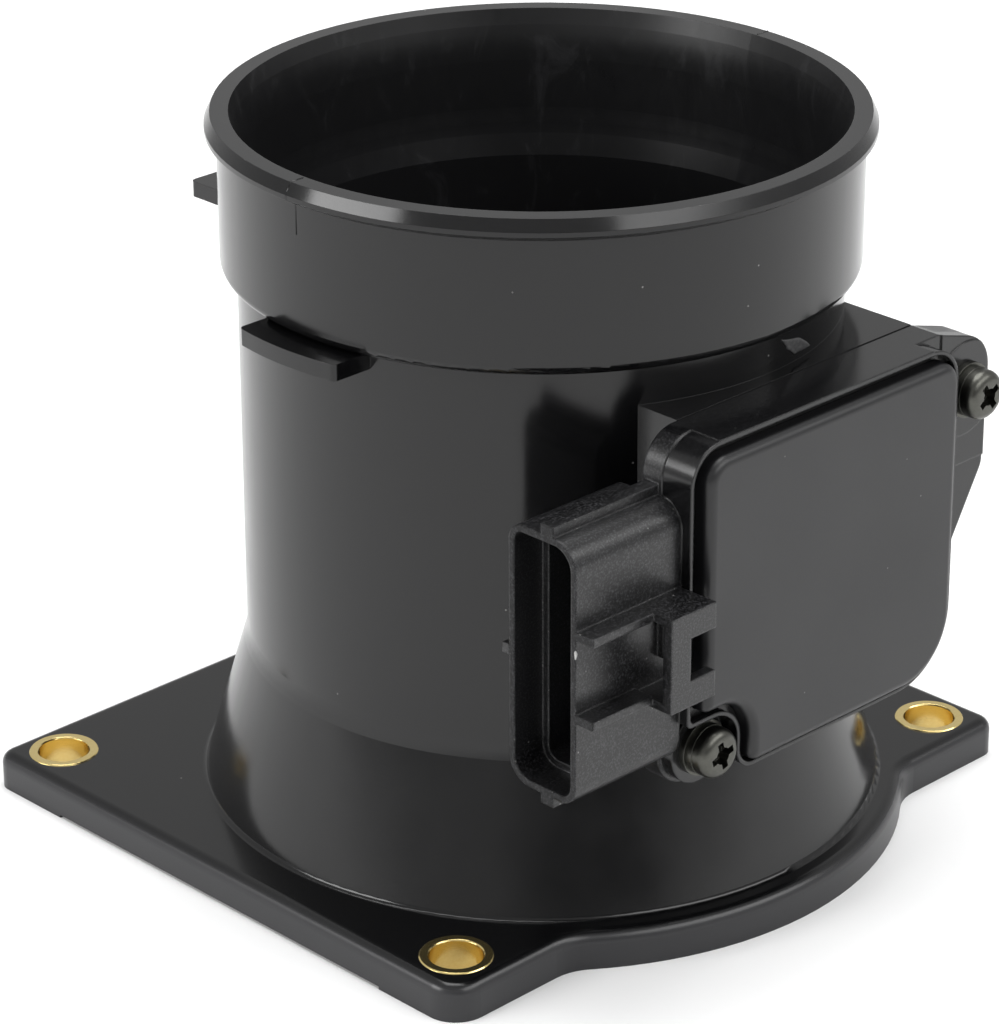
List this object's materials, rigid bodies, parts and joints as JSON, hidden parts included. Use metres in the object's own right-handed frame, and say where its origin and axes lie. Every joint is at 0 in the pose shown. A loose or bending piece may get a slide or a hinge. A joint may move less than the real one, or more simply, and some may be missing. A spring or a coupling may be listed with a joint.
{
  "type": "mass airflow sensor",
  "caption": "Mass airflow sensor: black moulded air duct on a four-hole flange, with a bolted sensor module, lid and side plug socket.",
  "frame": {"origin": "centre of the duct bore at the flange's mounting face", "axes": "+Z along the duct bore towards the hose collar, -Y towards the sensor module, -X towards the plug socket's mouth"},
  "size_m": [0.1014, 0.104, 0.0956],
  "materials": {
    "housing_plastic": "glass-filled moulding, satin black",
    "module_plastic": "glass-filled moulding, satin black",
    "lid_plastic": "fine matt grain, charcoal",
    "probe_plastic": "satin black",
    "sealant": "cured silicone, satin",
    "seal_rubber": "moulded rubber, matt",
    "bushing_brass": "turned, satin",
    "insert_brass": "turned, satin",
    "screw_steel": "zinc-plated, olive tint",
    "terminal_metal": "tin-plated",
    "plate_aluminium": "satin",
    "board": "green laminate, satin",
    "chip_plastic": "moulded black",
    "element_ceramic": "glazed",
    "post_metal": "drawn wire"
  },
  "bodies": {
    "root": {"circuit_board": "board", "duct_housing": "housing_plastic", "flange_bushing_front_left": "bushing_brass", "flange_bushing_front_right": "bushing_brass", "flange_bushing_rear_left": "bushing_brass", "flange_bushing_rear_right": "bushing_brass", "heat_plate": "plate_aluminium", "heater_driver": "chip_plastic", "hot_wire_element": "element_ceramic", "hot_wire_post_left": "post_metal", "hot_wire_post_right": "post_metal", "lid_sealant": "sealant", "lower_plain_washer": "screw_steel", "lower_screw": "screw_steel", "lower_spring_washer": "screw_steel", "lower_threaded_insert": "insert_brass", "module_lid": "lid_plastic", "plug_terminal_1": "terminal_metal", "plug_terminal_2": "terminal_metal", "plug_terminal_3": "terminal_metal", "plug_terminal_4": "terminal_metal", "plug_terminal_5": "terminal_metal", "probe_body": "probe_plastic", "probe_seal": "seal_rubber", "sensor_module": "module_plastic", "signal_chip": "chip_plastic", "temperature_element": "element_ceramic", "temperature_post_left": "post_metal", "temperature_post_right": "post_metal", "trimmed_resistor": "element_ceramic", "upper_plain_washer": "screw_steel", "upper_screw": "screw_steel", "upper_spring_washer": "screw_steel", "upper_threaded_insert": "insert_brass"}
  },
  "joints": []
}
